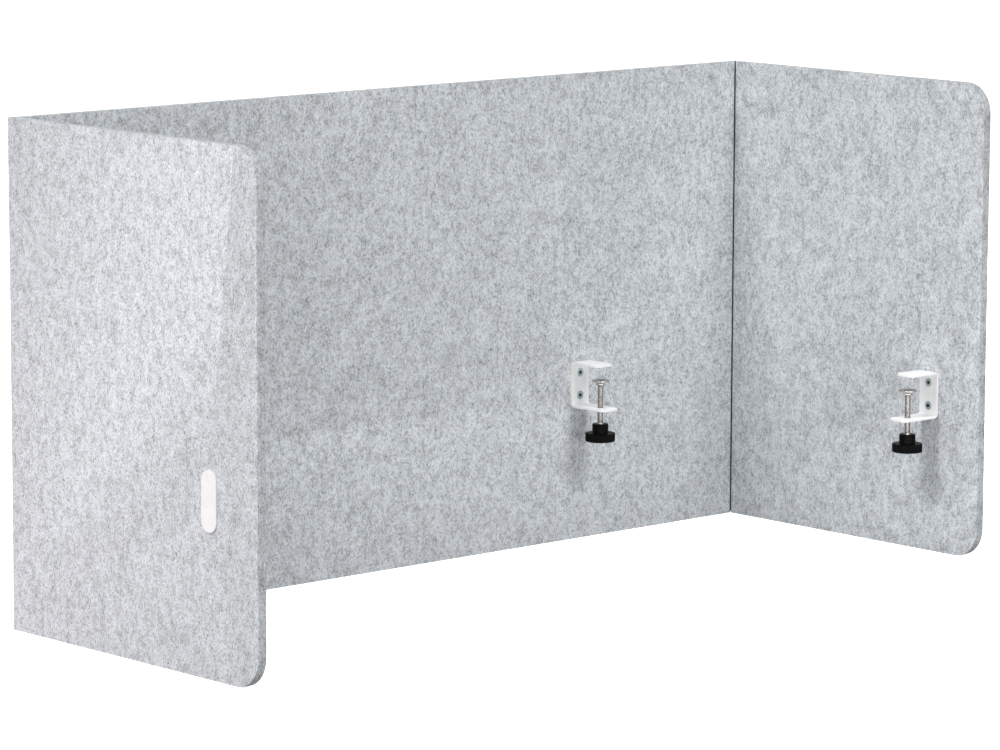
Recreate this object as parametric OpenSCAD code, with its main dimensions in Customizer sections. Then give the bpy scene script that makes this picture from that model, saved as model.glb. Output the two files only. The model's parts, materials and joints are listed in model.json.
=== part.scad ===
// Three-sided desk privacy panel: a felt back with two folding wings and four screw clamps.
// Millimetres. +X is right, +Y is away from the person at the desk, +Z is up.
// The origin is at the middle of the floor rectangle that the whole panel stands on.

/* [Felt panels] */
// Width of the back panel over its outer corners
panel_w = 1200; // [1040:10:1600]
// Height of the felt
panel_h = 610; // [450:10:800]
// Depth of a wing, from the back's outer face to the wing's free end
wing_d = 457; // [300:1:500]
// Thickness of the pressed felt
felt_t = 12; // [9:0.5:18]
// Radius of the two free corners of a wing
corner_r = 38; // [10:1:80]
// Opening of the fold groove at the inner face
groove_gap = 2; // [1:0.1:4]
// Felt left uncut at each fold, which bends as the hinge
skin_t = 1.6; // [1:0.1:2.5]

/* [Clamp places] */
// Height of the middle of every bracket above the felt's bottom edge
clamp_z = 205; // [140:1:400]
// Distance of each back clamp from the middle of the back
back_clamp_x = 306; // [80:1:400]
// Distance of each wing clamp from the wing's free end
wing_clamp_inset = 85; // [50:1:150]

/* [Bracket] */
// Width of the bracket's steel strip
bracket_w = 30; // [26:1:40]
// Height of the bracket over both arms
bracket_h = 60; // [56:1:70]
// Thickness of the steel strip
sheet_t = 3; // [3:0.1:4]
// Reach of the upper arm from the felt
upper_arm = 50; // [46:1:60]
// Reach of the lower arm from the felt
lower_arm = 62; // [56:1:75]
// Radius of the arms' free corners
arm_corner_r = 8; // [2:1:12]
// Inner radius of the upper bend
upper_bend_r = 0.6; // [0.3:0.1:3]
// Inner radius of the lower bend
lower_bend_r = 3.4; // [0.3:0.1:3.4]

/* [Fixing to the felt] */
// Width of the rounded plate on the felt's outer face
plate_w = 27; // [20:1:40]
// Height of that plate
plate_h = 72; // [60:1:90]
// Thickness of that plate
plate_t = 2; // [1.5:0.1:3]
// Distance between the two screws
screw_gap = 30; // [24:1:32]
// Diameter of the screws
screw_d = 6; // [6:0.5:7]
// Diameter of their countersunk heads
screw_head_d = 12; // [11:0.1:12]
// Diameter of the threaded sleeves through the felt
sleeve_d = 9; // [8.5:0.5:11]

/* [Clamping screw] */
// Diameter of the threaded spindle
spindle_d = 8; // [7:0.5:9]
// Distance of the spindle's axis from the felt
spindle_y = 41; // [34:1:44]
// Spindle showing between the swivel pad and the knob
spindle_free = 51; // [46:1:60]
// Gap between the upper arm and the swivel pad
jaw_gap = 18; // [16:0.5:38]
// Diameter of the swivel pad's rim
pad_d = 24; // [20:1:30]
// Height of the swivel pad
pad_h = 6; // [6:0.5:8]
// Diameter of the knob's flange
knob_d = 39; // [32:1:44]
// Height of the knob's flange
flange_h = 11; // [10:0.5:15]
// Diameter of the knob's hub
hub_d = 21; // [18:1:24]
// Height of the knob's hub above the flange
hub_h = 12; // [12:0.5:16]
// Number of grip ribs round the flange
flange_ribs = 36; // [18:2:48]
// Number of ribs round the hub
hub_ribs = 18; // [9:1:24]

/* [Hidden] */
$fn = 96;
e = 1;                        // how far a cutter runs past the face it cuts
fit = 0.05;                   // radial clearance of a running fit
sleeve_gap = 0.2;             // radial clearance of a sleeve in the felt
groove_root = 0.35;           // set-back of each mitre at the root of the groove

half_w = panel_w / 2;
back_y = (wing_d + plate_t) / 2 - plate_t;   // the back's outer face
back_in_y = back_y - felt_t;                 // the back's inner face
wing_in_x = half_w - felt_t;                 // a wing's inner face
wing_clamp_y = back_y - wing_d + wing_clamp_inset;
groove_set = groove_gap / sqrt(2);           // set-back of each mitre at the inner face

pad_top = bracket_h / 2 - sheet_t - jaw_gap;
pad_bottom = pad_top - pad_h;
pad_boss_r = 5.8;
pad_web = 3.2;                // thickness of the pad's middle
neck_r = 2.5;                 // spindle's neck in the pad
hub_top = pad_bottom - spindle_free;
spindle_in_knob = 17;
insert_r = 4.9;               // metal insert moulded round the spindle in the hub
insert_h = 15;
insert_proud = 1.2;
rib_r = 0.9;                  // groove between two grip ribs

CLAMP_PARTS = [
    "bracket", "backing_plate", "threaded_sleeves", "countersunk_screws",
    "spindle", "swivel_pad", "knob", "knob_insert"
];
// name, x, y, turn: a clamp's own frame has +Y pointing from the felt over the desk
CLAMPS = [
    ["back_left", -back_clamp_x, back_in_y, 180],
    ["back_right", back_clamp_x, back_in_y, 180],
    ["wing_left", -wing_in_x, wing_clamp_y, -90],
    ["wing_right", wing_in_x, wing_clamp_y, 90]
];
PANEL_NODES = ["back_panel", "left_wing_panel", "right_wing_panel", "left_fold_skin", "right_fold_skin"];

felt_grey = [0.78, 0.80, 0.82];
coat_white = [0.96, 0.96, 0.95];
nickel = [0.75, 0.74, 0.72];
zinc = [0.66, 0.70, 0.68];
knob_black = [0.06, 0.06, 0.06];

// ---- Helpers ----

// Puts its children at a clamp. The origin is on the felt's inner face, at the bracket's middle.
module at_clamp(c) {
    translate([c[1], c[2], clamp_z])
        rotate([0, 0, c[3]])
            children();
}

// Puts its children at both screws, with +Z along the screw, out of the felt.
module at_screws() {
    for (z = [-screw_gap / 2, screw_gap / 2])
        translate([0, 0, z])
            rotate([-90, 0, 0])
                children();
}

// Right as drawn, or mirrored to the left.
module on_side(side) {
    if (side > 0) children();
    else mirror([1, 0, 0]) children();
}

// A w by h rectangle from the origin, with its two left corners rounded.
module left_rounded(w, h, r_low, r_high) {
    translate([r_low, 0]) square([w - r_low, r_low]);
    translate([0, r_low]) square([w, h - r_low - r_high]);
    translate([r_high, h - r_high]) square([w - r_high, r_high]);
    translate([r_low, r_low]) circle(r_low);
    translate([r_high, h - r_high]) circle(r_high);
}

// The holes that both sleeves of a clamp need in the felt.
module sleeve_holes() {
    at_screws()
        translate([0, 0, -felt_t - e])
            cylinder(d = sleeve_d + 2 * sleeve_gap, h = felt_t + 2 * e);
}

// The round space that the fold skin fills, at the right outer corner.
module fold_space(clearance) {
    translate([half_w, back_y, -e])
        cylinder(r = skin_t + clearance, h = panel_h + 2 * e);
}

// ---- Felt ----

// Plan of the back: its ends are mitred so that each wing closes on it at a right angle.
module back_plan() {
    outer = half_w - groove_root;
    inner = wing_in_x - groove_set;
    polygon([[-outer, back_y], [outer, back_y], [inner, back_in_y], [-inner, back_in_y]]);
}

module back_panel() {
    color(felt_grey)
    difference() {
        linear_extrude(panel_h) back_plan();
        for (side = [-1, 1])
            on_side(side) fold_space(fit);
        for (c = [CLAMPS[0], CLAMPS[1]])
            at_clamp(c) sleeve_holes();
    }
}

// Plan of the right wing, mitred where it meets the back.
module wing_plan() {
    front = back_y - wing_d;
    polygon([
        [half_w, front], [half_w, back_y - groove_root],
        [wing_in_x, back_in_y - groove_set], [wing_in_x, front]
    ]);
}

// Side outline of the right wing as a slab, with the two free corners rounded.
module wing_outline() {
    translate([wing_in_x - e, back_y - wing_d, 0])
        rotate([90, 0, 90])
            linear_extrude(felt_t + 2 * e)
                left_rounded(wing_d, panel_h, corner_r, corner_r);
}

module wing_panel(side, clamp) {
    color(felt_grey)
    difference() {
        on_side(side)
            difference() {
                intersection() {
                    linear_extrude(panel_h) wing_plan();
                    wing_outline();
                }
                fold_space(fit);
            }
        at_clamp(clamp) sleeve_holes();
    }
}

// The uncut felt that joins a wing to the back. Its round side is centred on the fold's axis.
module fold_skin(side) {
    color(felt_grey)
    on_side(side)
        intersection() {
            translate([half_w - 2 * skin_t, back_y - 2 * skin_t, 0])
                cube([2 * skin_t, 2 * skin_t, panel_h]);
            fold_space(0);
        }
}

// ---- Bracket and its fixing ----

// Side section of the bracket: a web on the felt with an arm above and a longer one below.
module bracket_section() {
    inside_h = bracket_h - 2 * sheet_t;
    translate([0, -bracket_h / 2])
        difference() {
            left_rounded(lower_arm, bracket_h, lower_bend_r + sheet_t, upper_bend_r + sheet_t);
            translate([sheet_t, sheet_t])
                left_rounded(lower_arm, inside_h, lower_bend_r, upper_bend_r);
            translate([upper_arm, bracket_h / 2])
                square([lower_arm, bracket_h]);
        }
}

// What is cut away to round one free corner of an arm that ends at reach.
module arm_corner(side, reach, z) {
    on_side(side)
        translate([bracket_w / 2 - arm_corner_r, reach - arm_corner_r, z])
            difference() {
                cube([arm_corner_r + e, arm_corner_r + e, bracket_h]);
                translate([0, 0, -e]) cylinder(r = arm_corner_r, h = bracket_h + 2 * e);
            }
}

// A countersunk screw's outline, with +Z out of its head and 0 at the web's felt side.
module countersunk(head_r, shank_r, tip) {
    cone_h = head_r - shank_r;
    translate([0, 0, tip]) cylinder(r = shank_r, h = sheet_t - tip);
    translate([0, 0, sheet_t - cone_h]) cylinder(r1 = shank_r, r2 = head_r, h = cone_h);
}

module bracket() {
    color(coat_white)
    difference() {
        rotate([90, 0, 90])
            translate([0, 0, -bracket_w / 2])
                linear_extrude(bracket_w) bracket_section();
        for (side = [-1, 1]) {
            arm_corner(side, upper_arm, 0);
            arm_corner(side, lower_arm, -bracket_h);
        }
        at_screws() countersunk(screw_head_d / 2, screw_d / 2 + fit, -e);
        translate([0, spindle_y, -bracket_h / 2 - e])
            cylinder(r = spindle_d / 2 + fit, h = sheet_t + 2 * e);
    }
}

// Rounded plate on the outer face, its outer edge rounded over.
module backing_plate() {
    edge_r = plate_t * 0.45;
    straight = plate_h - plate_w;
    color(coat_white)
    translate([0, -felt_t, 0])
        rotate([90, 0, 0]) {
            for (y = [-straight / 2, straight / 2])
                translate([0, y, 0])
                    rotate_extrude() right_half_plate(edge_r);
            for (turn = [0, 180])
                rotate([0, 0, turn])
                    rotate([90, 0, 0])
                        translate([0, 0, -straight / 2])
                            linear_extrude(straight) right_half_plate(edge_r);
        }
}

// Half the plate's cross-section, with its outer edge rounded.
module right_half_plate(edge_r) {
    half = plate_w / 2;
    square([half, plate_t - edge_r]);
    square([half - edge_r, plate_t]);
    translate([half - edge_r, plate_t - edge_r]) circle(edge_r);
}

// Two sleeves, welded to the plate, that carry the screws' threads through the felt.
module threaded_sleeves() {
    color(zinc)
    at_screws()
        translate([0, 0, -felt_t])
            difference() {
                cylinder(d = sleeve_d, h = felt_t - fit);
                cylinder(r = screw_d / 2 + fit, h = felt_t);
            }
}

// Two countersunk screws with hexagon sockets.
module countersunk_screws() {
    socket_af = 4;
    socket_deep = 2;
    color(zinc)
    at_screws()
        difference() {
            countersunk(screw_head_d / 2 - fit, screw_d / 2, 2 - felt_t);
            translate([0, 0, sheet_t - socket_deep])
                cylinder(d = socket_af / cos(30), h = socket_deep + e, $fn = 6);
        }
}

// ---- Clamping screw ----

// Places a turned part on the spindle's axis.
module on_spindle() {
    translate([0, spindle_y, 0]) children();
}

// Rod with a chamfer at each end and a peened neck that holds the pad.
module spindle() {
    r = spindle_d / 2;
    chamfer = 0.8;
    low = hub_top - spindle_in_knob;
    shoulder = pad_bottom - 2 * fit;
    peen = pad_bottom + pad_web + 2 * fit;
    peen_r = 3.8;
    color(nickel)
    on_spindle()
        rotate_extrude()
            polygon([
                [0, low], [r - chamfer, low], [r, low + chamfer],
                [r, shoulder - chamfer], [r - chamfer, shoulder], [neck_r, shoulder],
                [neck_r, peen], [peen_r, peen], [peen_r, peen + 0.5],
                [peen_r - 1.2, peen + 1.2], [0, peen + 1.2]
            ]);
}

// Dished steel pad that swivels on the spindle's neck and presses on the desk from below.
module swivel_pad() {
    rim_r = pad_d / 2;
    hole_r = neck_r + 2 * fit;
    color(nickel)
    on_spindle()
        translate([0, 0, pad_bottom])
            rotate_extrude()
                polygon([
                    [hole_r, 0], [pad_boss_r, 0], [pad_boss_r, 1.8],
                    [rim_r - 0.6, pad_h - 1.4], [rim_r, pad_h - 1.1], [rim_r, pad_h],
                    [rim_r - 1.6, pad_h], [pad_boss_r - 0.4, pad_web], [hole_r, pad_web]
                ]);
}

// Upright grooves between grip ribs, n of them round a drum of radius r.
module grip_grooves(n, r, z, h) {
    for (i = [0:n - 1])
        rotate([0, 0, i * 360 / n])
            translate([r + rib_r * 0.35, 0, z])
                cylinder(r = rib_r, h = h, $fn = 24);
}

// Moulded knob: a ribbed hub over a ribbed flange, hollow underneath.
module knob() {
    flange_r = knob_d / 2;
    hub_r = hub_d / 2;
    edge = 0.8;
    hollow = 3;
    flange_top = hub_top - hub_h;
    low = flange_top - flange_h;
    color(knob_black)
    on_spindle()
        difference() {
            rotate_extrude()
                polygon([
                    [0, low + hollow], [flange_r - 4, low + hollow], [flange_r - 4, low],
                    [flange_r - edge, low], [flange_r, low + edge],
                    [flange_r, flange_top - edge], [flange_r - edge, flange_top],
                    [hub_r, flange_top], [hub_r, hub_top - edge],
                    [hub_r - edge, hub_top], [0, hub_top]
                ]);
            grip_grooves(flange_ribs, flange_r, low - e, flange_h + 2 * e);
            grip_grooves(hub_ribs, hub_r, flange_top + 1, hub_h + e);
            translate([0, 0, hub_top - spindle_in_knob - fit])
                cylinder(r = spindle_d / 2 + fit, h = spindle_in_knob + e);
            translate([0, 0, hub_top - insert_h - fit])
                cylinder(r = insert_r + fit, h = insert_h + e);
        }
}

// Metal insert that the knob is moulded round and the spindle is screwed into.
module knob_insert() {
    color(nickel)
    on_spindle()
        translate([0, 0, hub_top - insert_h])
            difference() {
                cylinder(r = insert_r, h = insert_h + insert_proud);
                translate([0, 0, -e])
                    cylinder(r = spindle_d / 2 + fit, h = insert_h + insert_proud + 2 * e);
            }
}

// ---- Assembly ----

back_panel();
wing_panel(-1, CLAMPS[2]);  // left_wing_panel
wing_panel(1, CLAMPS[3]);  // right_wing_panel
fold_skin(-1);  // left_fold_skin
fold_skin(1);  // right_fold_skin
for (c = CLAMPS) {
    at_clamp(c) bracket();
    at_clamp(c) backing_plate();
    at_clamp(c) threaded_sleeves();
    at_clamp(c) countersunk_screws();
    at_clamp(c) spindle();
    at_clamp(c) swivel_pad();
    at_clamp(c) knob();
    at_clamp(c) knob_insert();
}
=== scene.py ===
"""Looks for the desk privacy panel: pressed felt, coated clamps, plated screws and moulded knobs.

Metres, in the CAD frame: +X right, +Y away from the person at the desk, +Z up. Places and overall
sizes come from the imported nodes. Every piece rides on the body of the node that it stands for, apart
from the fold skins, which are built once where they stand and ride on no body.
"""

import json
import math

import bmesh
import bpy
from mathutils import Matrix, Vector


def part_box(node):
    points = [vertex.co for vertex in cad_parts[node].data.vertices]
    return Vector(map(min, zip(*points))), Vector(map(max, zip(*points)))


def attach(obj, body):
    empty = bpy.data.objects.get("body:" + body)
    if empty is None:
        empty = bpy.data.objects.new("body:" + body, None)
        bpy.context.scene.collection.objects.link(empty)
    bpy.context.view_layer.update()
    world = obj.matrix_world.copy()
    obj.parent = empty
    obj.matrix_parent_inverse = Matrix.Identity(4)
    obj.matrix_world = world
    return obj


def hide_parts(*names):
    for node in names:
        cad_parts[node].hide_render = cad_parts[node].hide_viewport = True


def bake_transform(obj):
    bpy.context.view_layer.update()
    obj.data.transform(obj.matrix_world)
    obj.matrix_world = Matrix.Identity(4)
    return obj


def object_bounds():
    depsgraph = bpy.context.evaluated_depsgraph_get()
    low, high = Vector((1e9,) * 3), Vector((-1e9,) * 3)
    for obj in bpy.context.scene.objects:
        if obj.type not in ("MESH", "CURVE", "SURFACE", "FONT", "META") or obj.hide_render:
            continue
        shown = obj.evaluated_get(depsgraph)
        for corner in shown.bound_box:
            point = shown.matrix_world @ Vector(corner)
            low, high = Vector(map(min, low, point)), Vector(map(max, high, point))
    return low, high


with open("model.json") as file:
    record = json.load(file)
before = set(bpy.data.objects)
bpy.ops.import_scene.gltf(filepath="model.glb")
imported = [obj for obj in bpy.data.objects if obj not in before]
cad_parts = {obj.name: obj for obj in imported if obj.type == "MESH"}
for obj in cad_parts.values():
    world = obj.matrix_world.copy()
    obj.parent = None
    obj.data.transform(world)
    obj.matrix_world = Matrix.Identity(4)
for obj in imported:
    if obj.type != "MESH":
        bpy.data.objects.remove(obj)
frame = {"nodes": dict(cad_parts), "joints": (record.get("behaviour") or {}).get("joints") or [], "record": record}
CAD_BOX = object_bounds()

MM = 0.001
TURN = 2 * math.pi
SIDES = ("left", "right")
BODIES = frame["record"]["behaviour"]["bodies"]
NODE_BODY = {node: body for body, nodes in BODIES.items() for node in nodes}
NODE_SLOT = {part["node"]: part["material_slot"] for part in frame["record"]["subparts"]}
JOINTS = {joint["name"]: joint for joint in frame["joints"]}
CLAMPS = sorted(node.removesuffix("_bracket") for node in NODE_BODY if node.endswith("_bracket"))


# ---- Camera ----

VIEW_YAW = math.radians(42.26)       # from +Y towards +X
VIEW_PITCH = math.radians(8.71)      # looking down
VIEW_ROLL = math.radians(0.20)
VIEW_FROM = (-3.898, -4.258, 1.156)
LENS, SENSOR = 171.4, 36             # millimetres


def add_camera():
    camera = bpy.data.cameras.new("camera")
    camera.lens = LENS
    camera.sensor_width = SENSOR
    holder = bpy.data.objects.new("camera", camera)
    holder.location = VIEW_FROM
    turn = Matrix.Rotation(-VIEW_YAW, 4, "Z") @ Matrix.Rotation(math.pi / 2 - VIEW_PITCH, 4, "X")
    holder.rotation_euler = (turn @ Matrix.Rotation(VIEW_ROLL, 4, "Z")).to_euler()
    bpy.context.scene.collection.objects.link(holder)
    bpy.context.scene.camera = holder


# ---- Materials ----

def new_material(name):
    """An empty node material and its Principled shader."""
    material = bpy.data.materials.new(name)
    material.use_nodes = True
    return material, material.node_tree.nodes["Principled BSDF"]


def add(material, kind, inputs=None, **settings):
    """A shader node with its settings, its constant inputs and its links made."""
    node = material.node_tree.nodes.new("ShaderNode" + kind)
    for key, value in settings.items():
        setattr(node, key, value)
    for key, value in (inputs or {}).items():
        if isinstance(value, bpy.types.NodeSocket):
            material.node_tree.links.new(value, node.inputs[key])
        else:
            node.inputs[key].default_value = value
    return node


def link(material, socket, shader, name):
    material.node_tree.links.new(socket, shader.inputs[name])


def place(material, stretch=(1, 1, 1), turn=(0, 0, 0)):
    """Object coordinates, turned and then stretched."""
    coordinates = add(material, "TexCoord").outputs["Object"]
    turned = add(material, "Mapping", {"Vector": coordinates, "Rotation": turn})
    return add(material, "Mapping", {"Vector": turned.outputs[0], "Scale": stretch}).outputs[0]


def noise(material, vector, scale, detail=2.0, roughness=0.5, distortion=0.0):
    values = {"Vector": vector, "Scale": scale, "Detail": detail, "Roughness": roughness}
    values["Distortion"] = distortion
    return add(material, "TexNoise", values).outputs["Fac"]


def spread(material, value, low, high, to_low=0.0, to_high=1.0):
    """value, taken from low..high to to_low..to_high, smoothly and without running past."""
    values = {"Value": value, "From Min": low, "From Max": high}
    values.update({"To Min": to_low, "To Max": to_high})
    return add(material, "MapRange", values, interpolation_type="SMOOTHSTEP").outputs["Result"]


def maths(material, operation, a, b, c=0.0):
    return add(material, "Math", {0: a, 1: b, 2: c}, operation=operation).outputs[0]


def mixed(material, factor, a, b):
    """Colour a where factor is 0 and colour b where it is 1."""
    node = add(material, "Mix", data_type="RGBA")
    for key, value in ((0, factor), (6, a), (7, b)):
        if isinstance(value, bpy.types.NodeSocket):
            material.node_tree.links.new(value, node.inputs[key])
        else:
            node.inputs[key].default_value = value
    return node.outputs[2]


def bump(material, shader, height, distance, strength=1.0):
    node = add(material, "Bump", {"Height": height, "Distance": distance, "Strength": strength})
    link(material, node.outputs[0], shader, "Normal")


def grey(value, blue=0.0):
    """A colour of that value, with less red and more blue by the same share."""
    return (value * (1 - blue), value, value * (1 + blue), 1)


# Felt grain, in noise cells a metre: across and along a fibre, and for the spots from fine to coarse.
DARK_FIBRE = (900, 230)
PALE_FIBRE = (1300, 260)
FLECKS, CLUMPS, CLOUDS = 470, 120, 45
UPRIGHT_STRETCH = 0.72     # the spots are taller than wide
EDGE_LAYERS = (1500, 45)   # a cut edge's streaks, across and along
FELT_DARK, FELT_PALE = (0.225, 0.05), (0.90, 0.042)
# Turns about X, Y and Z that lay the fibres along four directions of every face.
FIBRE_TURNS = ((0.0, 0.0, 0.0), (0.0, 0.95, 0.5), (0.9, 0.0, 0.6), (-0.9, -0.7, 0.3))


def fibre_layer(material, turn, across, along, low, high):
    """Thin streaks of one direction: 1 on a fibre, 0 off it, with low..high as the way between."""
    vector = place(material, (across, across, along), turn)
    return spread(material, noise(material, vector, 1.0, 2.0, 0.6, 0.4), low, high)


def felt_material(name, shade, layers):
    """Needled polyester felt: dark flecks and fibres in clumps among pale ones, over soft clouds.

    shade scales the colour, and layers is the strength of a cut edge's thin upright streaks.
    """
    material, shader = new_material(name)
    upright = place(material, (1.0, 1.0, UPRIGHT_STRETCH))
    dark_fibres, pale_fibres = 0.0, 0.0
    for number, turn in enumerate(FIBRE_TURNS):
        other_turn = (turn[2], turn[0], turn[1])
        dark = fibre_layer(material, turn, DARK_FIBRE[0] + 60 * number, DARK_FIBRE[1], 0.56, 0.70)
        pale = fibre_layer(material, other_turn, PALE_FIBRE[0], PALE_FIBRE[1], 0.56, 0.76)
        dark_fibres = maths(material, "MAXIMUM", dark_fibres, dark)
        pale_fibres = maths(material, "MAXIMUM", pale_fibres, pale)
    clumps = spread(material, noise(material, upright, CLUMPS, 3.0, 0.6, 0.4), 0.42, 0.64)
    flecks = spread(material, noise(material, upright, FLECKS, 3.0, 0.6, 0.6), 0.29, 0.61)
    clouds = noise(material, upright, CLOUDS, 3.0, 0.55, 0.3)
    tone = maths(material, "MULTIPLY_ADD", flecks, 0.50, 0.09)
    tone = maths(material, "MULTIPLY_ADD", clouds, 0.44, tone)
    tone = maths(material, "MULTIPLY_ADD", clumps, -0.17, tone)
    tone = maths(material, "MULTIPLY_ADD", pale_fibres, 0.14, tone)
    in_clumps = maths(material, "MULTIPLY_ADD", clumps, 0.6, 0.4)
    dark_fibres = maths(material, "MULTIPLY", dark_fibres, in_clumps)
    tone = maths(material, "MULTIPLY_ADD", dark_fibres, -0.30, tone)
    across, along = EDGE_LAYERS
    streaks = noise(material, place(material, (across, across, along)), 1.0, 2.0, 0.6)
    streaks = maths(material, "SUBTRACT", streaks, 0.5)
    tone = maths(material, "MULTIPLY_ADD", streaks, layers, tone)
    (dark, dark_blue), (pale, pale_blue) = FELT_DARK, FELT_PALE
    colour = mixed(material, tone, grey(dark * shade, dark_blue), grey(pale * shade, pale_blue))
    link(material, colour, shader, "Base Color")
    shader.inputs["Roughness"].default_value = 0.92
    shader.inputs["Specular IOR Level"].default_value = 0.2
    shader.inputs["Sheen Weight"].default_value = 0.08
    shader.inputs["Sheen Roughness"].default_value = 0.6
    relief = maths(material, "MULTIPLY_ADD", pale_fibres, 0.5, flecks)
    relief = maths(material, "MULTIPLY_ADD", dark_fibres, -0.5, relief)
    bump(material, shader, relief, 0.5 * MM, 0.6)
    return material


def coat_material(name, shade):
    """White powder coat, its colour scaled by shade; below 1 it is a darker copy of the same coat, as painted
    shade. A faint orange peel, dust and uneven gloss.
    """
    material, shader = new_material(name)
    here = place(material)
    peel = noise(material, here, 700, 2.0, 0.5)
    patches = noise(material, here, 60, 4.0, 0.6)
    dusty = spread(material, patches, 0.35, 0.75)
    colour = mixed(material, dusty, grey(0.925 * shade), grey(0.875 * shade))
    link(material, colour, shader, "Base Color")
    link(material, spread(material, patches, 0.2, 0.8, 0.34, 0.48), shader, "Roughness")
    bump(material, shader, peel, 0.12 * MM, 0.35)
    return material


def metal_material(name, bright, dull, rough, grain):
    """Plated steel, duller in patches, with fine turning or rolling marks."""
    material, shader = new_material(name)
    here = place(material)
    patches = noise(material, here, 400, 4.0, 0.65, 0.5)
    marks = noise(material, place(material, (600, 600, 3500)), 1.0, 3.0, 0.6)
    colour = mixed(material, spread(material, patches, 0.35, 0.75), bright, dull)
    link(material, colour, shader, "Base Color")
    roughness = spread(material, marks, 0.25, 0.75, rough - 0.08, rough + 0.12)
    link(material, roughness, shader, "Roughness")
    shader.inputs["Metallic"].default_value = 1.0
    bump(material, shader, marks, 0.05 * MM, grain)
    return material


def knob_material():
    """Black moulded plastic with a fine spark-eroded grain, polished where fingers hold it."""
    material, shader = new_material("black_plastic")
    here = place(material)
    grain = noise(material, here, 2600, 2.0, 0.6)
    worn = noise(material, here, 180, 3.0, 0.6)
    colour = mixed(material, spread(material, worn, 0.4, 0.8), grey(0.001), grey(0.003))
    link(material, colour, shader, "Base Color")
    link(material, spread(material, worn, 0.3, 0.8, 0.42, 0.28), shader, "Roughness")
    shader.inputs["Specular IOR Level"].default_value = 0.05
    bump(material, shader, grain, 0.06 * MM, 0.4)
    return material


def socket_material():
    """Painted shade inside a screw's hexagon socket: near-black in place of the plating, mottled, with uneven
    roughness.
    """
    material, shader = new_material("socket_painted_shade")
    here = place(material)
    painted_shade_mottle = noise(material, here, 900, 3.0, 0.6)
    # Painted shade: the socket's faces are near-black, mottled between two dark greys.
    link(material, mixed(material, painted_shade_mottle, grey(0.004), grey(0.030)), shader, "Base Color")
    link(material, spread(material, painted_shade_mottle, 0.3, 0.7, 0.45, 0.75), shader, "Roughness")
    bump(material, shader, painted_shade_mottle, 0.05 * MM, 0.5)
    return material


# Colours where the plating is bright and where it is dull.
NICKEL = ((0.56, 0.53, 0.51, 1), (0.26, 0.245, 0.235, 1))
ZINC = ((0.46, 0.55, 0.52, 1), (0.27, 0.34, 0.32, 1))


def make_materials():
    return {
        "felt": felt_material("pressed_felt", 1.0, 0.0),
        "felt_edge": felt_material("cut_felt", 0.80, 0.9),
        "white_coat": coat_material("white_powder_coat", 1.0),
        # The backing plates wear the brackets' white coat, painted darker by 0.84 as painted shade.
        "painted_shade_plate_coat": coat_material("plate_powder_coat_painted_shade", 0.84),
        "nickel": metal_material("nickel_plate", *NICKEL, 0.18, 0.3),
        "zinc": metal_material("zinc_plate", *ZINC, 0.38, 0.4),
        "socket": socket_material(),
        "black_plastic": knob_material(),
    }


# ---- Mesh helpers ----

SMOOTH_BELOW = math.radians(35)      # edges that turn by less are shaded smooth
FLAT_BELOW = math.radians(0.5)       # faces that meet at less are made one
SHARP_ABOVE = math.radians(30)       # edges that turn by more are rounded


def piece(mesh, node):
    """A shown piece from a bmesh: it stands for a CAD node, and has its slot and material."""
    data = bpy.data.meshes.new(node + "_piece")
    bmesh.ops.recalc_face_normals(mesh, faces=mesh.faces)
    mesh.to_mesh(data)
    mesh.free()
    made = bpy.data.objects.new(data.name, data)
    bpy.context.scene.collection.objects.link(made)
    data.materials.append(MATERIALS[NODE_SLOT[node]])
    data.shade_smooth()
    data.set_sharp_from_angle(angle=SMOOTH_BELOW)
    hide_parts(node)
    return made


def riding(mesh, node):
    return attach(piece(mesh, node), NODE_BODY[node])


def joined(mesh, distance):
    """Merges points that are closer than distance, and makes flat faces whole again."""
    bmesh.ops.remove_doubles(mesh, verts=mesh.verts, dist=distance)
    bmesh.ops.dissolve_limit(mesh, angle_limit=FLAT_BELOW, verts=mesh.verts, edges=mesh.edges)


def copied(node):
    """A bmesh of a CAD node with its flat faces whole again."""
    mesh = bmesh.new()
    mesh.from_mesh(frame["nodes"][node].data)
    joined(mesh, 0.001 * MM)
    return mesh


def soften(mesh, width, keep=lambda edge: False):
    """Rounds every sharp edge by width, apart from those to keep."""
    closed = [edge for edge in mesh.edges if edge.is_manifold]
    sharp = [edge for edge in closed if edge.calc_face_angle() > SHARP_ABOVE and not keep(edge)]
    bmesh.ops.bevel(
        mesh, geom=sharp, offset=width, segments=3, profile=0.5,
        affect="EDGES", clamp_overlap=True,
    )


def filleted(points, steps=4):
    """Points (radius, height, fillet) as (radius, height), each corner rounded by its fillet."""
    made = []
    for before, here, after in zip(points[-1:] + points[:-1], points, points[1:] + points[:1]):
        corner, fillet = Vector(here[:2]), here[2]
        if not fillet:
            made.append(tuple(corner))
            continue
        back = (Vector(before[:2]) - corner).normalized()
        ahead = (Vector(after[:2]) - corner).normalized()
        half = back.angle(ahead) / 2
        reach = fillet / math.tan(half)
        centre = corner + (back + ahead).normalized() * (fillet / math.sin(half))
        start, end = corner + back * reach - centre, corner + ahead * reach - centre
        for step in range(steps + 1):
            made.append(tuple(centre + start.slerp(end, step / steps) * fillet))
    return made


def ring_at(mesh, axis, height, steps, reach):
    """A ring of points round an upright axis, at the distance reach(angle) from it."""
    ring = []
    for step in range(steps):
        angle = TURN * step / steps
        radius = reach(angle)
        x = axis.x + radius * math.cos(angle)
        y = axis.y + radius * math.sin(angle)
        ring.append(mesh.verts.new((x, y, height)))
    return ring


def skinned(mesh, rings):
    """Faces between each ring and the one after it."""
    for lower, upper in zip(rings, rings[1:]):
        for step in range(len(lower)):
            after = (step + 1) % len(lower)
            mesh.faces.new((lower[step], lower[after], upper[after], upper[step]))


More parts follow.
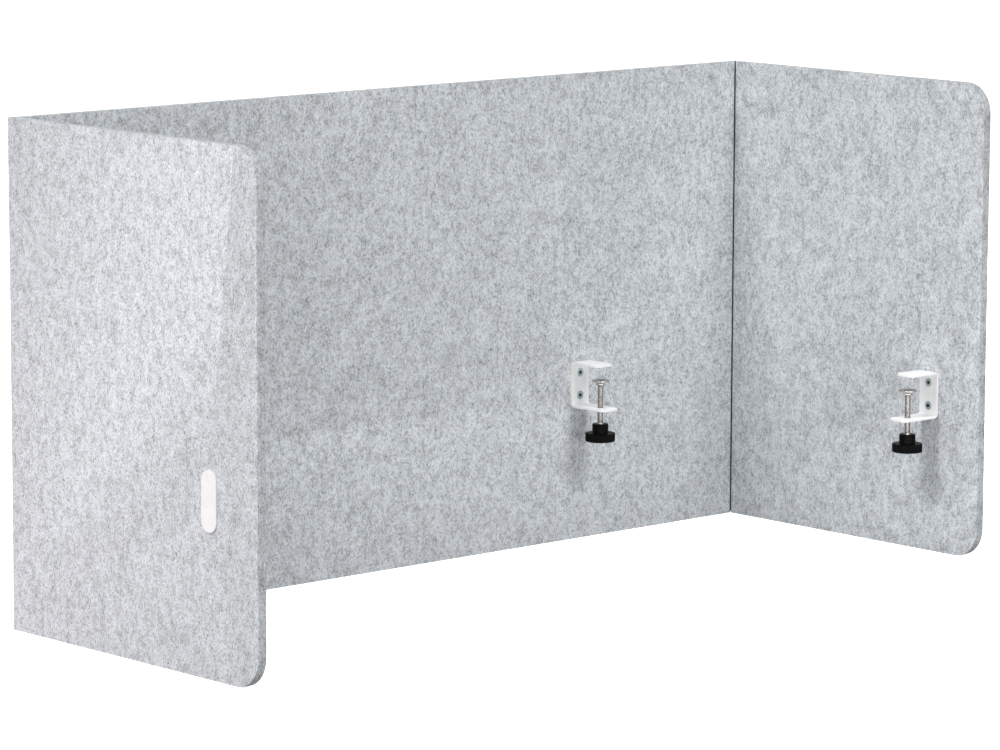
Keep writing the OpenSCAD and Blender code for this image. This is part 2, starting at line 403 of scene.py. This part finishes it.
def turned(axis, profile, steps, ribs=lambda angle, radius, height: 0):
    """A closed mesh turned round an upright axis from a profile, with the depth of its ribs taken off.

    The profile starts and ends on the axis, or is closed round a hole.
    """
    mesh = bmesh.new()
    rings = []
    for radius, height in profile:
        rings.append(ring_at(mesh, axis, height, steps, lambda a: radius - ribs(a, radius, height)))
    on_axis = profile[0][0] == 0
    skinned(mesh, rings if on_axis else rings + rings[:1])
    bmesh.ops.remove_doubles(mesh, verts=mesh.verts, dist=0.002 * MM)
    return mesh


# ---- Felt ----

EDGE_SOFT = 0.7 * MM       # how far the felt's cut edges are rounded
FOLD_GAP = 0.05 * MM       # between a board's sharp edge at a fold and the fold's axis
FACE_SLANT = 0.8           # a face whose normal has less than this across the board is a cut edge
SKIN_INSET = 0.1 * MM      # from a fold skin's CAD faces to its shown ones
SKIN_STEPS = 16


def fold_axis(side):
    return Vector(JOINTS[side + "_fold"]["pos_m"][:2])


def off_axis(point, side):
    """The level distance from a point to a fold's axis."""
    return (point.xy - fold_axis(side)).length


def felt_panel(node, sides):
    """A felt board with soft cut edges, closed up to the axis of each fold that it meets."""
    mesh = copied(node)
    low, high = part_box(node)
    through = min(range(3), key=lambda axis: high[axis] - low[axis])
    skin_low, skin_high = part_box("right_fold_skin")
    reach = (skin_high.x - skin_low.x) * 1.1
    edges = {}
    for side in sides:
        along = ((low + high) / 2).xy - fold_axis(side)
        along[through] = 0
        edges[side] = fold_axis(side) + along.normalized() * FOLD_GAP
    for vert in mesh.verts:
        for side in sides:
            if off_axis(vert.co, side) < reach:
                vert.co.xy = edges[side]
    joined(mesh, 0.01 * MM)

    def at_fold(edge):
        return any(off_axis(end.co, side) < 2 * FOLD_GAP for end in edge.verts for side in sides)

    soften(mesh, EDGE_SOFT, at_fold)
    mesh.normal_update()
    for face in mesh.faces:
        face.material_index = int(abs(face.normal[through]) < FACE_SLANT)
    made = riding(mesh, node)
    made.data.materials.append(MATERIALS["felt_edge"])
    return made


def fold_skin(side):
    """The felt left at the root of a fold: a quarter fan about the fold's axis, built once where it stands."""
    node = side + "_fold_skin"
    low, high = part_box(node)
    axis = fold_axis(side)
    inward = Vector((-math.copysign(1, axis.x), -1))
    radius = (high.x - low.x) - 2 * SKIN_INSET
    apex = axis + inward * SKIN_INSET
    mesh = bmesh.new()
    rows = []
    for height in (low.z + SKIN_INSET, high.z - SKIN_INSET):
        centre = mesh.verts.new((*apex, height))
        arc = []
        for step in range(SKIN_STEPS + 1):
            angle = math.pi / 2 * step / SKIN_STEPS
            out = Vector((inward.x * math.cos(angle), inward.y * math.sin(angle))) * radius
            arc.append(mesh.verts.new((*(apex + out), height)))
        rows.append((centre, arc))
    (low_centre, low_arc), (high_centre, high_arc) = rows
    for step in range(SKIN_STEPS):
        mesh.faces.new((low_centre, low_arc[step], low_arc[step + 1]))
        mesh.faces.new((high_centre, high_arc[step + 1], high_arc[step]))
        mesh.faces.new((low_arc[step], low_arc[step + 1], high_arc[step + 1], high_arc[step]))
    for step in (0, SKIN_STEPS):
        mesh.faces.new((low_centre, low_arc[step], high_arc[step], high_centre))
    made = piece(mesh, node)
    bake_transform(made)
    return made


def make_felt():
    felt_panel("back_panel", SIDES)
    for side in SIDES:
        felt_panel(side + "_wing_panel", (side,))
        fold_skin(side)


# ---- Clamps ----

PITCH = 1.25 * MM          # M8 thread
THREAD_DEPTH = 0.61 * PITCH
THREAD_ROWS = 10           # rings of points in one turn of the thread
BRACKET_SOFT = 0.45 * MM   # how far the bracket's edges are rounded
SOCKET = 2.31 * MM         # from a screw's axis to the corners of its 4 mm hexagon socket
FLANGE_H = 11 * MM         # the knob's flange, from the knob's underside up
HUB_R = 10.5 * MM
FLANGE_RIBS = 36
HUB_RIBS = 18


def bracket(clamp):
    mesh = copied(clamp + "_bracket")
    soften(mesh, BRACKET_SOFT)
    return riding(mesh, clamp + "_bracket")


def axis_of(node):
    low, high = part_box(node)
    return (low + high).xy / 2


def outward(clamp):
    """The level direction from the felt out over the desk, at a clamp."""
    across = axis_of(clamp + "_bracket") - axis_of(clamp + "_backing_plate")
    if abs(across.x) > abs(across.y):
        return Vector((math.copysign(1, across.x), 0, 0))
    return Vector((0, math.copysign(1, across.y), 0))


def screw(head, length):
    """A countersunk screw along +Z, its head's face at 0: a bevelled rim and a hexagon socket."""
    shank, deep, cone, chamfer = 3 * MM, 2 * MM, 3 * MM, 0.6 * MM
    profile = filleted([
        (0, -deep - 0.3 * MM, 0), (SOCKET, -deep, 0), (SOCKET, 0, 0.12 * MM),
        (head - 0.7 * MM, 0, 0.4 * MM), (head, -0.45 * MM, 0.12 * MM), (head, -0.6 * MM, 0),
        (shank, -cone, 0.2 * MM), (shank, -length + chamfer, 0),
        (shank - chamfer, -length, 0), (0, -length, 0),
    ])

    def flats(angle, radius, height):
        """How far the socket's flat sides stand in from its corners."""
        if radius > SOCKET + 0.01 * MM:
            return 0
        from_flat = angle % (TURN / 6) - TURN / 12
        return radius - radius * math.cos(TURN / 12) / math.cos(from_flat)

    return turned(Vector((0, 0)), profile, 72, flats)


def in_socket(face, head):
    return all(end.co.xy.length < head / 2.4 and end.co.z > -head / 2 for end in face.verts)


def countersunk_screws(clamp):
    node = clamp + "_countersunk_screws"
    low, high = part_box(node)
    along = outward(clamp)
    size = high - low
    length = abs(size.xy.dot(along.xy))
    head = (size.x + size.y - length) / 2
    face = (low + high) / 2 + along * length / 2
    mesh = bmesh.new()
    for height in (low.z + head, high.z - head):
        one = screw(head, length)
        # Faces inside the socket take the near-black painted-shade material.
        for item in one.faces:
            item.material_index = int(in_socket(item, head))
        turn = along.to_track_quat("Z", "Y").to_matrix().to_4x4()
        one.transform(Matrix.Translation((face.x, face.y, height)) @ turn)
        part = bpy.data.meshes.new("one_screw")
        one.to_mesh(part)
        one.free()
        mesh.from_mesh(part)
        bpy.data.meshes.remove(part)
    made = riding(mesh, node)
    # The second material is the socket's painted shade.
    made.data.materials.append(MATERIALS["socket"])
    return made


def spindle(clamp):
    """A rod with a helical thread between its chamfers, and the peened neck that holds the pad."""
    node = clamp + "_spindle"
    low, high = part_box(node)
    outer = (high.x - low.x) / 2
    chamfer = 0.9 * MM
    thread_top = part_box(clamp + "_swivel_pad")[0].z - 0.1 * MM
    steps = 40
    rows = round((thread_top - low.z) / PITCH * THREAD_ROWS)

    def thread(angle, height):
        phase = (height / PITCH + angle / TURN) % 1.0
        groove = THREAD_DEPTH * min(1.0, max(0.0, 1.6 * abs(2 * phase - 1) - 0.35) ** 1.2)
        end = min(height - low.z, thread_top - height)
        return min(outer - groove, outer - THREAD_DEPTH + end * THREAD_DEPTH / chamfer)

    axis = axis_of(node)
    mesh = bmesh.new()
    rings = []
    for row in range(rows + 1):
        height = low.z + (thread_top - low.z) * row / rows
        rings.append(ring_at(mesh, axis, height, steps, lambda angle: thread(angle, height)))
    neck, peen, neck_top = 2.5 * MM, 3.8 * MM, high.z - 1.2 * MM
    for radius, height in (
        (neck, thread_top), (neck, neck_top), (peen, neck_top), (peen, neck_top + 0.5 * MM),
        (peen - 0.5 * MM, high.z - 0.3 * MM), (peen - 1.3 * MM, high.z),
    ):
        rings.append(ring_at(mesh, axis, height, steps, lambda angle: radius))
    skinned(mesh, rings)
    mesh.faces.new(rings[0])
    mesh.faces.new(rings[-1])
    return riding(mesh, node)


def swivel_pad(clamp):
    """A pressed dish: a flat rim, a cone down to a rolled boss, and a recess for the peened neck."""
    node = clamp + "_swivel_pad"
    low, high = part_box(node)
    rim, base, top = (high.x - low.x) / 2, low.z, high.z
    hole, boss, web = 2.6 * MM, 5.8 * MM, 3.2 * MM
    profile = filleted([
        (hole, base, 0.2 * MM), (boss, base, 0.5 * MM), (boss, base + 1.8 * MM, 0.6 * MM),
        (rim - 0.6 * MM, top - 1.4 * MM, 0.3 * MM), (rim, top - 1.1 * MM, 0.25 * MM),
        (rim, top, 0.35 * MM), (rim - 1.6 * MM, top, 0.35 * MM),
        (boss - 0.4 * MM, base + web, 0.8 * MM), (hole, base + web, 0.2 * MM),
    ])
    return riding(turned(axis_of(node), profile, 64), node)


def knob(clamp):
    """A moulded knob, ribbed round its flange and its hub, and hollow underneath."""
    node = clamp + "_knob"
    low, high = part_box(node)
    insert_low, insert_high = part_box(clamp + "_knob_insert")
    base, top = low.z, high.z
    flange, flange_top = (high.x - low.x) / 2, base + FLANGE_H
    pocket, floor = (insert_high.x - insert_low.x) / 2, top - 10 * MM
    edge, hollow, wall = 0.8 * MM, 3 * MM, 4 * MM
    profile = filleted([
        (0, base + hollow, 0), (flange - wall, base + hollow, 0.6 * MM),
        (flange - wall, base, 0.6 * MM), (flange - edge, base, 0.3 * MM),
        (flange, base + edge, 0.4 * MM), (flange, flange_top - edge, 0.4 * MM),
        (flange - edge, flange_top, 0.4 * MM), (HUB_R, flange_top, 0.5 * MM),
        (HUB_R, top - edge, 0.3 * MM), (HUB_R - edge, top, 0.3 * MM),
        (pocket, top, 0.2 * MM), (pocket, floor, 0), (0, floor, 0),
    ])

    def ribs(angle, radius, height):
        if radius > flange - 1.1 * MM and height > base + 0.3 * MM:
            return 0.7 * MM * (0.5 - 0.5 * math.cos(FLANGE_RIBS * angle)) ** 2
        if HUB_R - 0.9 * MM < radius < HUB_R + 0.2 * MM and height > flange_top + 0.6 * MM:
            return 0.6 * MM * (0.5 - 0.5 * math.cos(HUB_RIBS * angle)) ** 2
        return 0

    return riding(turned(axis_of(node), profile, 288, ribs), node)


def knob_insert(clamp):
    """A plated insert with a chamfered collar standing just above the hub."""
    node = clamp + "_knob_insert"
    low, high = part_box(node)
    outer, hole = (high.x - low.x) / 2, 4.05 * MM
    profile = filleted([
        (hole, low.z, 0), (outer, low.z, 0.3 * MM),
        (outer, high.z, 0.5 * MM), (hole, high.z, 0.15 * MM),
    ])
    return riding(turned(axis_of(node), profile, 48), node)


def finish_node(node, material):
    """Gives a CAD node that stays in view its material."""
    data = frame["nodes"][node].data
    data.materials.clear()
    data.materials.append(MATERIALS[material])


def make_clamps():
    for clamp in CLAMPS:
        bracket(clamp)
        countersunk_screws(clamp)
        spindle(clamp)
        swivel_pad(clamp)
        knob(clamp)
        knob_insert(clamp)
        # Painted shade: the backing plates get the darker copy of the white coat.
        finish_node(clamp + "_backing_plate", "painted_shade_plate_coat")
        finish_node(clamp + "_threaded_sleeves", "zinc")


# ---- Floor and light ----

WORLD_LIGHT = 0.26
FLOOR_GLOW = 0.74
FLOOR_REACH = 12.0
WHITE, WARM = (1, 1, 1), (1, 0.87, 0.90)
# name: place, what it is aimed at, size, power in watts, colour
SOFTBOXES = {
    "top_front_softbox": ((0.9, -12.7, 15.6), (0.2, 0.1, 0.3), (6.0, 4.5), 1800, WHITE),
    "top_left_softbox": ((-12.1, 1.0, 15.6), (0.5, -0.1, 0.3), (6.0, 4.5), 2250, WHITE),
    "left_softbox": ((-1.5, 0.35, 0.17), (-0.6, 0.0, 0.10), (1.4, 0.3), 4.1, WARM),
    "wing_softbox": ((-2.4, -1.7, 0.42), (0.5, 0.0, 0.20), (1.7, 0.8), 16.5, WHITE),
    "front_softbox": ((0.10, -1.05, 0.21), (0.65, 0.15, 0.12), (1.2, 0.4), 4.7, WHITE),
    "back_softbox": ((2.0, 2.7, 1.2), (0.2, 0.1, 0.3), (2.4, 1.8), 90, WHITE),
}


def add_floor():
    """A white floor. It doesn't light the felt, which would wash out the clamps' shadows."""
    data = bpy.data.meshes.new("floor")
    reach, under = FLOOR_REACH, CAD_BOX[0].z
    corners = ((-reach, -reach, under), (reach, -reach, under), (reach, reach, under), (-reach, reach, under))
    data.from_pydata(corners, [], [(0, 1, 2, 3)])
    floor = bpy.data.objects.new("floor", data)
    material, shader = new_material("floor")
    shader.inputs["Base Color"].default_value = (0.9, 0.9, 0.9, 1)
    shader.inputs["Roughness"].default_value = 0.9
    shader.inputs["Emission Color"].default_value = (1, 1, 1, 1)
    shader.inputs["Emission Strength"].default_value = FLOOR_GLOW
    data.materials.append(material)
    floor.visible_diffuse = False
    bpy.context.scene.collection.objects.link(floor)


def add_softbox(name, place_at, aim, size, power, colour):
    light = bpy.data.lights.new(name, "AREA")
    light.shape = "RECTANGLE"
    light.size, light.size_y = size
    light.energy = power
    light.color = colour
    holder = bpy.data.objects.new(name, light)
    holder.location = place_at
    holder.rotation_euler = (Vector(aim) - Vector(place_at)).to_track_quat("-Z", "Y").to_euler()
    holder.visible_camera = False
    bpy.context.scene.collection.objects.link(holder)


def add_world():
    """Even soft light all round, and a white backdrop that only the camera sees."""
    world = bpy.data.worlds.new("studio")
    world.use_nodes = True
    nodes, links = world.node_tree.nodes, world.node_tree.links
    light = nodes["Background"]
    light.inputs["Color"].default_value = (1, 1, 1, 1)
    light.inputs["Strength"].default_value = WORLD_LIGHT
    backdrop = nodes.new("ShaderNodeBackground")
    backdrop.inputs["Color"].default_value = (1, 1, 1, 1)
    backdrop.inputs["Strength"].default_value = 1.0
    either = nodes.new("ShaderNodeMixShader")
    links.new(nodes.new("ShaderNodeLightPath").outputs["Is Camera Ray"], either.inputs[0])
    links.new(light.outputs[0], either.inputs[1])
    links.new(backdrop.outputs[0], either.inputs[2])
    links.new(either.outputs[0], nodes["World Output"].inputs["Surface"])
    bpy.context.scene.world = world


def add_light():
    add_world()
    for name, settings in SOFTBOXES.items():
        add_softbox(name, *settings)


MATERIALS = make_materials()
bpy.context.scene.view_settings.view_transform = "Standard"
add_camera()
add_floor()
add_light()
make_felt()
make_clamps()
